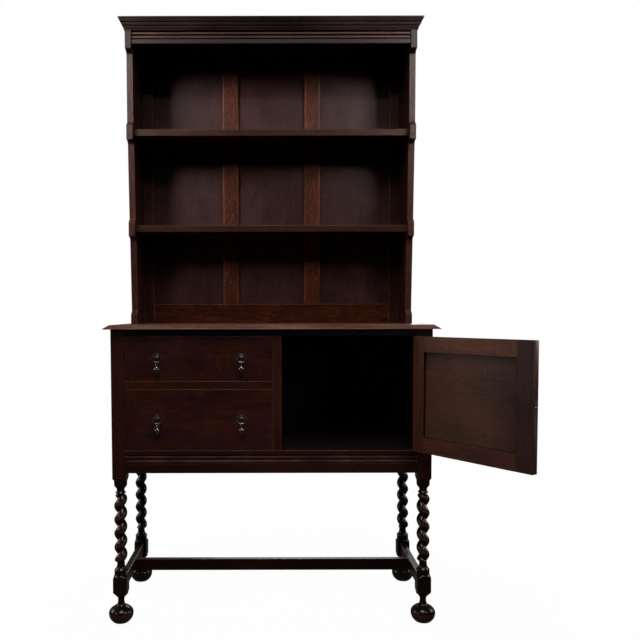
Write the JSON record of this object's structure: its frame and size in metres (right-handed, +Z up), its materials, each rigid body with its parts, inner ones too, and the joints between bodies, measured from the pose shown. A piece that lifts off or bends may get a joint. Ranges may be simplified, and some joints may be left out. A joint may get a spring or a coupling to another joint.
{
  "type": "welsh dresser",
  "caption": "Oak dresser with an open plate rack over drawers and a hinged cupboard door, on barley twist legs with bun feet and an H stretcher.",
  "frame": {"origin": "middle of the whole outline on the floor, with the door standing open as in the picture", "axes": "+X to the right and +Y to the back seen from the front, +Z up"},
  "size_m": [1.1748, 0.7488, 1.8675],
  "materials": {
    "oak": "dark stained and waxed oak",
    "oak_inside": "dark stained, unpolished",
    "oak_panel": "dark stained oak panels and fronts",
    "oak_top": "dark stained, polished by use",
    "drawer_lining": "bare drawer lining",
    "brass": "dark oxidised brass",
    "hinge_brass": "dull brass"
  },
  "bodies": {
    "case": {"leg_front_left": "oak", "leg_front_right": "oak", "leg_back_left": "oak", "leg_back_right": "oak", "stretcher_left": "oak", "stretcher_right": "oak", "stretcher_cross": "oak", "rail_top": "oak", "rail_divider": "oak", "stile_centre": "oak", "rail_bottom": "oak", "end_panel_left": "oak", "end_panel_right": "oak", "case_back": "oak_inside", "partition": "oak_inside", "case_floor": "oak_inside", "dust_board": "oak_inside", "table_top": "oak_top", "rack_back_board": "oak_panel", "rack_back_stile_left": "oak", "rack_back_stile_right": "oak", "rack_back_rail": "oak", "rack_muntin_left": "oak", "rack_muntin_right": "oak", "rack_side_left": "oak", "rack_side_right": "oak", "rack_shelf_lower": "oak", "rack_shelf_upper": "oak", "rack_frieze": "oak", "rack_cornice": "oak", "hinge_lower_post_leaf": "hinge_brass", "hinge_upper_post_leaf": "hinge_brass"},
    "drawer_upper": {"drawer_upper_front": "oak_panel", "drawer_upper_side_left": "drawer_lining", "drawer_upper_side_right": "drawer_lining", "drawer_upper_bottom": "drawer_lining", "drawer_upper_back": "drawer_lining", "drawer_upper_handle_left_plate": "brass", "drawer_upper_handle_right_plate": "brass"},
    "drawer_lower": {"drawer_lower_front": "oak_panel", "drawer_lower_side_left": "drawer_lining", "drawer_lower_side_right": "drawer_lining", "drawer_lower_bottom": "drawer_lining", "drawer_lower_back": "drawer_lining", "drawer_lower_handle_left_plate": "brass", "drawer_lower_handle_right_plate": "brass"},
    "door": {"door_stile_hinge": "oak", "door_stile_lock": "oak", "door_rail_top": "oak", "door_rail_bottom": "oak", "door_panel": "oak_panel", "door_catch": "hinge_brass", "door_handle_plate": "brass", "hinge_lower_door_leaf": "hinge_brass", "hinge_upper_door_leaf": "hinge_brass"},
    "drawer_upper_handle_left_drop": {"drawer_upper_handle_left_drop": "brass"},
    "drawer_upper_handle_right_drop": {"drawer_upper_handle_right_drop": "brass"},
    "drawer_lower_handle_left_drop": {"drawer_lower_handle_left_drop": "brass"},
    "drawer_lower_handle_right_drop": {"drawer_lower_handle_right_drop": "brass"},
    "door_handle_drop": {"door_handle_drop": "brass"}
  },
  "joints": [
    {"name": "drawer_upper_slide", "type": "slide", "parent": "case", "child": "drawer_upper", "axis": [0, -1, 0], "range_m": [0, 0.25]},
    {"name": "drawer_lower_slide", "type": "slide", "parent": "case", "child": "drawer_lower", "axis": [0, -1, 0], "range_m": [0, 0.25]},
    {"name": "door_swing", "type": "hinge", "parent": "case", "child": "door", "pos_m": [0.34988, -0.0323, 0.702], "axis": [0, 0, 1], "range_deg": [-126, 44]},
    {"name": "drawer_upper_handle_left_drop_swing", "type": "hinge", "parent": "drawer_upper", "child": "drawer_upper_handle_left_drop", "pos_m": [-0.42912, -0.0399, 0.796], "axis": [-1, 0, 0], "range_deg": [0, 95]},
    {"name": "drawer_upper_handle_right_drop_swing", "type": "hinge", "parent": "drawer_upper", "child": "drawer_upper_handle_right_drop", "pos_m": [-0.17762, -0.0399, 0.796], "axis": [-1, 0, 0], "range_deg": [0, 95]},
    {"name": "drawer_lower_handle_left_drop_swing", "type": "hinge", "parent": "drawer_lower", "child": "drawer_lower_handle_left_drop", "pos_m": [-0.42912, -0.0399, 0.6125], "axis": [-1, 0, 0], "range_deg": [0, 95]},
    {"name": "drawer_lower_handle_right_drop_swing", "type": "hinge", "parent": "drawer_lower", "child": "drawer_lower_handle_right_drop", "pos_m": [-0.17762, -0.0399, 0.6125], "axis": [-1, 0, 0], "range_deg": [0, 95]},
    {"name": "door_handle_drop_swing", "type": "hinge", "parent": "door", "child": "door_handle_drop", "pos_m": [0.58027, -0.33647, 0.6915], "axis": [0.5878, -0.809, 0], "range_deg": [0, 95]}
  ]
}
